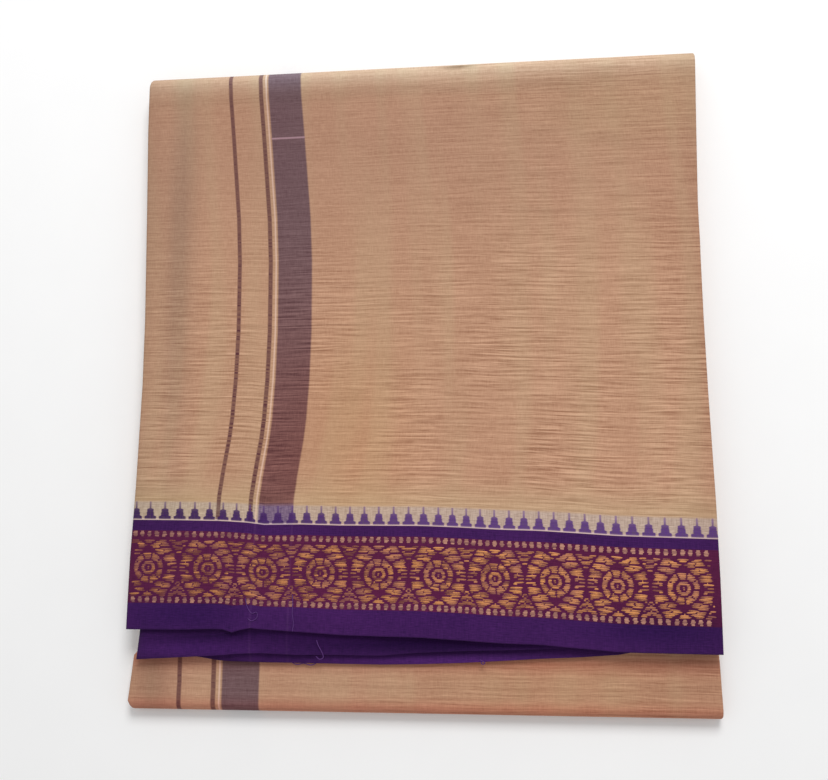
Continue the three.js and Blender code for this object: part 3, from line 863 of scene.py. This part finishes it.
STACK_SHIFT = (9.0, 3.0)  # of the stripes and the repeats, from the first selvedge's
# Painted shade over all the selvedge plies, which lie in the recess under the first.
STACK_SHADE = 0.9
SAG = {  # where the lower selvedges dip or rise along their edge
    "x": [-118, -95, -60, -35, 0, 40, 80, 121],
    "z": [0.1, 0.0, -0.1, -0.7, -0.6, -0.1, 0.2, 0.1],
}
# Patches of painted light and shade on the selvedge plies: the shadow cast under each edge above and lit
# bands between: centre, reach, and the share of red, green and blue added.
STACK_PATCHES = {
    "x": [-95, -5, 22, 100, 0, 24, -45, -90, -95],
    "y": [-116.5, -115, -121, -118, -111, -114.5, -117, -110, -121.4],
    "reach_x": [24, 40, 45, 30, 200, 46, 26, 40, 40],
    "reach_y": [3.2, 3.5, 2.2, 8, 3.5, 2.4, 4, 2.4, 1.2],
    "red": [0.25, -0.36, 0.9, -0.15, -0.35, -0.25, -0.10, -0.35, -0.40],
    "green": [0.20, -0.45, 0.9, -0.15, -0.55, -0.30, -0.15, -0.35, -0.50],
    "blue": [0.35, -0.30, 0.9, -0.12, -0.28, -0.20, -0.06, -0.30, -0.40],
}


def selvedge_ply(follows, back, height, inset, wave, seed):
    """A ply from behind to its selvedge, which rolls over in a half circle and runs back a
    little underneath. Its height sags towards the edge and its edge waves."""
    columns = np.linspace(STACK_SIDES[0] + inset, STACK_SIDES[1] - inset, PLY_COLUMNS)
    turn = np.linspace(-np.pi / 2, np.pi / 2, 7)
    behind = np.ones(len(INWARD))
    reach = np.concatenate([[0.4], 0.0 * turn, INWARD])
    inward = np.concatenate([[EDGE_TURN], EDGE_TURN * (1 - np.cos(turn)), EDGE_TURN * behind])
    drop = np.concatenate([[2 * EDGE_TURN], EDGE_TURN * (1 - np.sin(turn)), 0 * behind])
    x = np.broadcast_to(columns, (len(reach), len(columns)))
    ripple = wave * (np.sin(x / 7.3 + seed) + 0.6 * np.sin(x / 3.1 + 2.3 * seed))
    front = edge(follows, x) + back + ripple
    y = np.minimum(front + (reach + inward)[:, None], PLY_BACK)
    near = np.exp(-((y - front) / 9.0))
    sag = np.interp(x, SAG["x"], SAG["z"]) * near
    z = settle(x, y, height - drop[:, None] + 0 * x) + sag + 0.06 * np.sin(x / 5.1 + seed) * near
    x = x + STACK_LEAN * (y - FREE_EDGE) * np.linspace(1, 0, x.shape[1])
    return np.stack([x, y, z], -1), y - front


for seed, (name, follows, back, height, inset, wave) in enumerate(zip(*PLIES.values())):
    points, depth = selvedge_ply(follows, back, height, inset, wave, seed)
    x = points[..., 0]
    depth = np.minimum(depth, ROWS_OF_DOTS[0] - 0.5)
    ply = sheet_mesh(
        name, points,
        cloth=np.stack([x + STACK_SHIFT[0], depth, repeat_at(x + STACK_SHIFT[1])], -1),
        tint=tinted(x, points[..., 1], STACK_PATCHES) * STACK_SHADE,
    )
    thicken(ply, SELVEDGE_PLY)
    ply.data.materials.append(cotton)
    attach(ply, "root")
    if name in ("second_selvedge", "third_selvedge"):
        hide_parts(follows + "_border")
    width = STACK_SIDES[1] - STACK_SIDES[0] - 2 * inset
    width * MM

# Folded sides
# The plies inside the packet show only where they turn at its sides. On the left eight turn as
# one bundle. On the right four turn as a bundle, then two, and two cut ends lie beside them.
# They follow the cloth's way through the packet: over it, under it, and twice through it.

MIDDLE = {"a": 3.5 * PACK, "b": 2.5 * PACK, "c": 1.5 * PACK, "d": 0.5 * PACK}
PASS_STEPS = 64
FOLD_STEPS = 12
LOWER_PASS_STEPS = 10
SIDE_FLAP = 6.0  # above and below a turned side
BY_THE_STEP = {"y": [-97, -60], "stands_in": [2.6, 0.0]}  # the upper packs' sides near their front
SIDE_SHADE = (0.95, 0.93, 0.92)
SIDE_STRETCH = 0.6


def through(first):
    """Stations along the middle of the packs, from pack a or from pack c, to the end of pack b."""
    inner = arc(TOP_CENTRE, HEIGHT / 2, PACK / 2, -90, 90, FOLD_STEPS)
    inner[:, 2:] *= -1
    to_b = [
        flat(LOWER_BACK, TOP_CENTRE, MIDDLE["c"], 1, PASS_STEPS)[:-1],
        inner[:-1],
        flat(TOP_CENTRE, LOWER_BACK, MIDDLE["b"], -1, PASS_STEPS),
    ]
    if first == "c":
        return np.vstack(to_b)
    return np.vstack([
        flat(FREE_EDGE + 5, TOP_CENTRE, MIDDLE["a"], 1, PASS_STEPS)[:-1],
        arc(TOP_CENTRE, HEIGHT / 2, HEIGHT / 2 - PACK / 2, 90, -90, FOLD_STEPS)[:-1],
        flat(TOP_CENTRE, LOWER_CENTRE, MIDDLE["d"], -1, PASS_STEPS)[:-1],
        arc(LOWER_CENTRE, LOWER_HEIGHT / 2, LOWER_HEIGHT / 4, -90, -270, FOLD_STEPS)[:-1],
        flat(LOWER_CENTRE, LOWER_BACK, LOWER_HEIGHT * 0.75, 1, LOWER_PASS_STEPS)[:-1],
        *to_b,
    ])


def turned_side(stations, side, offset, radius, inset, wobble, seed):
    """A half circle of plies carried along stations, offset outwards from their middle, with a
    flap above and below that runs back into the packet. Its reach wobbles along the way."""
    way = path_length(stations)[:, None]
    angle = np.linspace(-np.pi / 2, np.pi / 2, 7)
    flap = [radius + SIDE_FLAP]
    inward = np.concatenate([flap, radius * (1 - np.cos(angle)), flap])
    over = np.concatenate([[-radius], radius * np.sin(angle), [radius]])
    y0, z0, out_y, out_z = (column[:, None] for column in stations.T)
    y = y0 + out_y * (offset + over)
    z = z0 + out_z * (offset + over)
    drift = wobble * (np.sin(way / 23 + seed) + 0.5 * np.sin(way / 9.7 + 1.7 * seed))
    by_the_step = np.interp(y0, BY_THE_STEP["y"], BY_THE_STEP["stands_in"])
    stand_in = inset + drift + np.where(z0 > MIDDLE["c"] + 1, by_the_step, 0)
    sign = 1 if side == "left" else -1
    x = outline(side, y0, z0) + sign * (stand_in + inward)
    points = np.stack([x, y, settle(x, y, z)], -1)
    round_side = SIDE_FLAP + radius * (angle + np.pi / 2)
    laid = x[:, :1] * 0 + np.concatenate([[0], round_side, [2 * SIDE_FLAP + np.pi * radius]])
    if side == "right":
        points = points[:, ::-1]
    return points, way, laid


# Each side piece: where its way starts, offset and radius, how far it stands in, and its wobble.
TURNS = {
    "name": ["left_bundle", "right_bundle", "right_fold", "right_end_outer", "right_end_inner"],
    "side": ["left", "right", "right", "right", "right"],
    "first": ["c", "c", "a", "a", "a"],
    "offset": [0.0, PACK / 4, -PACK / 8, -PACK * 0.31, -PACK * 0.44],
    "radius": [PACK / 2 - 0.02, PACK / 4 - 0.02, PACK / 8 - 0.02, 0.17, 0.17],
    "inset": [0.3, 0.4, 1.2, 0.5, 1.6],
    "wobble": [0.25, 0.3, 0.45, 0.6, 0.7],
}
for seed, (name, side, first, offset, radius, inset, wobble) in enumerate(zip(*TURNS.values())):
    stations = through(first)
    points, way, laid = turned_side(stations, side, offset, radius, inset, wobble, seed + 1.0)
    depth = FAR_FROM_BORDER + way * SIDE_STRETCH + 0 * laid
    ply = sheet_mesh(
        name, points,
        cloth=np.stack([laid + 40 + 30 * seed, depth, 0 * laid], -1),
        tint=np.array(SIDE_SHADE),
    )
    ply.data.materials.append(cotton)
    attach(ply, "root")
    if name == "left_bundle":
        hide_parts("hidden_layers")
    (2 * SIDE_FLAP + np.pi * radius) * MM

# Loose threads
# Ends of the purple yarn that the loom left: a curl and a straight one over the border, a hook
# on the second selvedge, and a knot and a tuft by the third.

THREAD = 0.19  # radius
THREAD_LIFT = 0.14  # of its middle above the cloth
THREAD_END = 0.15  # share of the radius at a thread's ends
CURVE_STEPS = 6
ROUND_STEPS = 6


def strand(points):
    """A tube along a smooth curve through points: Catmull-Rom between them, round sections
    square to the way."""
    p = np.array(points, float)
    p = np.vstack([2 * p[0] - p[1], p, 2 * p[-1] - p[-2]])
    t = np.linspace(0, 1, CURVE_STEPS, endpoint=False)[:, None]
    a, b, c, d = (p[i : len(p) - 3 + i, None] for i in range(4))
    bend = (2 * a - 5 * b + 4 * c - d) * t**2
    curve = 0.5 * (2 * b + (c - a) * t + bend + (3 * b - a - 3 * c + d) * t**3)
    curve = np.vstack([curve.reshape(-1, 3), p[-2]])
    ahead = np.gradient(curve, axis=0)
    ahead /= np.linalg.norm(ahead, axis=1, keepdims=True)
    side = np.cross(ahead, [0.0, 0.0, 1.0]) + [1e-6, 0, 0]
    side /= np.linalg.norm(side, axis=1, keepdims=True)
    up = np.cross(side, ahead)
    angle = np.linspace(0, 2 * np.pi, ROUND_STEPS + 1)
    taper = np.ones(len(curve))
    taper[[0, -1]] = THREAD_END
    ring = side[:, None] * np.cos(angle)[:, None] + up[:, None] * np.sin(angle)[:, None]
    return curve[:, None] + THREAD * taper[:, None, None] * ring


def on_front(x, y):
    """Points of a thread that lies on the front cloth."""
    heights = [float(top_height(np.array(a), np.array(b))) for a, b in zip(x, y)]
    return [(a, b, z + THREAD_LIFT) for a, b, z in zip(x, y, heights)]


def on_stack(x, y, z):
    """Points of a thread that lies on a selvedge of height z."""
    return [(a, b, z + THREAD_LIFT) for a, b in zip(x, y)]


def thread_yarn():
    """Purple cotton yarn, a little lighter than the border because it catches the light."""
    f = Finish("loose_yarn", Roughness=0.9)
    f.shader.inputs["Specular IOR Level"].default_value = 0.1
    place = f.node("ShaderNodeTexCoord", {}, {}, 3)
    colour = f.mix(f.noise(place, (1500, 1500, 1500)), screen_colour(70, 38, 98), screen_colour(106, 68, 130))
    f.feed(f.shader, {"Base Color": colour})
    return f.material


yarn = thread_yarn()
LOOSE = {
    "thread_curl": on_front(
        [-71.5, -70.6, -68.6, -66.4, -66.2, -68.4, -70.3],
        [-95.0, -98.6, -101.4, -101.0, -103.2, -104.6, -103.6],
    ),
    "thread_straight": on_front(
        [-51.2, -50.9, -51.1, -50.6, -51.0], [-93.5, -97.5, -101.5, -105.5, -109.0]
    ),
    "thread_hook": on_stack(
        [-41.0, -40.2, -38.8, -38.0, -39.6, -41.2],
        [-112.4, -114.6, -117.0, -119.4, -120.2, -119.0], 10.9,
    ),
    "thread_knot": on_stack(
        [27.2, 28.4, 29.4, 28.6, 27.8, 28.8],
        [-119.6, -120.3, -120.9, -121.6, -121.0, -120.4], 9.3,
    ),
    "thread_tuft": on_stack(
        [-52.5, -50.0, -47.0, -44.0, -41.6], [-121.8, -122.8, -122.3, -123.0, -122.2], 7.5
    ),
}
for name, route in LOOSE.items():
    thread = sheet_mesh(name, strand(route))
    thread.data.materials.append(yarn)
    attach(thread, "root")

# Studio
# A plain pale floor under soft light from above and a little beyond the top fold, and the
# camera at the photograph's angle.

FLOOR_SIZE = 6000.0
FLOOR_HEIGHT = -0.1
far = FLOOR_SIZE / 2
corners = np.array([[[-far, -far, 0], [far, -far, 0]], [[-far, far, 0], [far, far, 0]]], float)
corners[..., 2] = FLOOR_HEIGHT
floor = sheet_mesh("floor", corners)
paper = Finish("pale_floor", Roughness=0.9)
grain = paper.noise(paper.node("ShaderNodeTexCoord", {}, {}, 3), (40, 40, 40))
paper.feed(paper.shader, {"Base Color": paper.mix(grain, screen_colour(250, 250, 250), screen_colour(253, 253, 253))})
floor.data.materials.append(paper.material)


def soft_light(name, place, size, power):
    """A square light that looks at the middle of the packet."""
    data = bpy.data.lights.new(name, "AREA")
    data.size, data.energy = size, power
    lamp = bpy.data.objects.new(name, data)
    bpy.context.scene.collection.objects.link(lamp)
    back = np.array(place, float) / np.linalg.norm(place)
    across = np.cross([0.0, 1.0, 0.0], back)
    across /= np.linalg.norm(across)
    axes = np.stack([across, np.cross(back, across), back], 1)
    matrix = np.eye(4)
    matrix[:3, :3], matrix[:3, 3] = axes, place
    lamp.matrix_world = Matrix(matrix.tolist())


KEY_PLACE = (0.2, 0.8, 0.9)  # in metres
KEY_SIZE = 0.5
KEY_POWER = 9.0
SKY = 0.56
soft_light("key_light", KEY_PLACE, KEY_SIZE, KEY_POWER)
world = bpy.data.worlds.new("studio")
world.use_nodes = True
world.node_tree.nodes["Background"].inputs["Color"].default_value = (1, 1, 1, 1)
world.node_tree.nodes["Background"].inputs["Strength"].default_value = SKY
bpy.context.scene.world = world
bpy.context.scene.view_settings.view_transform = "Standard"

CAMERA_PLACE = (47.5, -73.4, 440.6)
CAMERA_AXES = ((0.994, 0.0162, 0.1084), (0.0005, 0.9884, -0.152), (-0.1096, 0.1511, 0.9824))
PHOTO_WIDTH = 828
FOCAL_PIXELS = 1014.8
SENSOR_WIDTH = 36
NEAREST = 0.01
camera_data = bpy.data.cameras.new("camera")
camera_data.sensor_width = SENSOR_WIDTH
camera_data.lens = FOCAL_PIXELS / PHOTO_WIDTH * SENSOR_WIDTH
camera_data.clip_start = NEAREST
camera = bpy.data.objects.new("camera", camera_data)
bpy.context.scene.collection.objects.link(camera)
pose = np.eye(4)
pose[:3, :3] = CAMERA_AXES
pose[:3, 3] = np.array(CAMERA_PLACE) * MM
camera.matrix_world = Matrix(pose.tolist())
bpy.context.scene.camera = camera
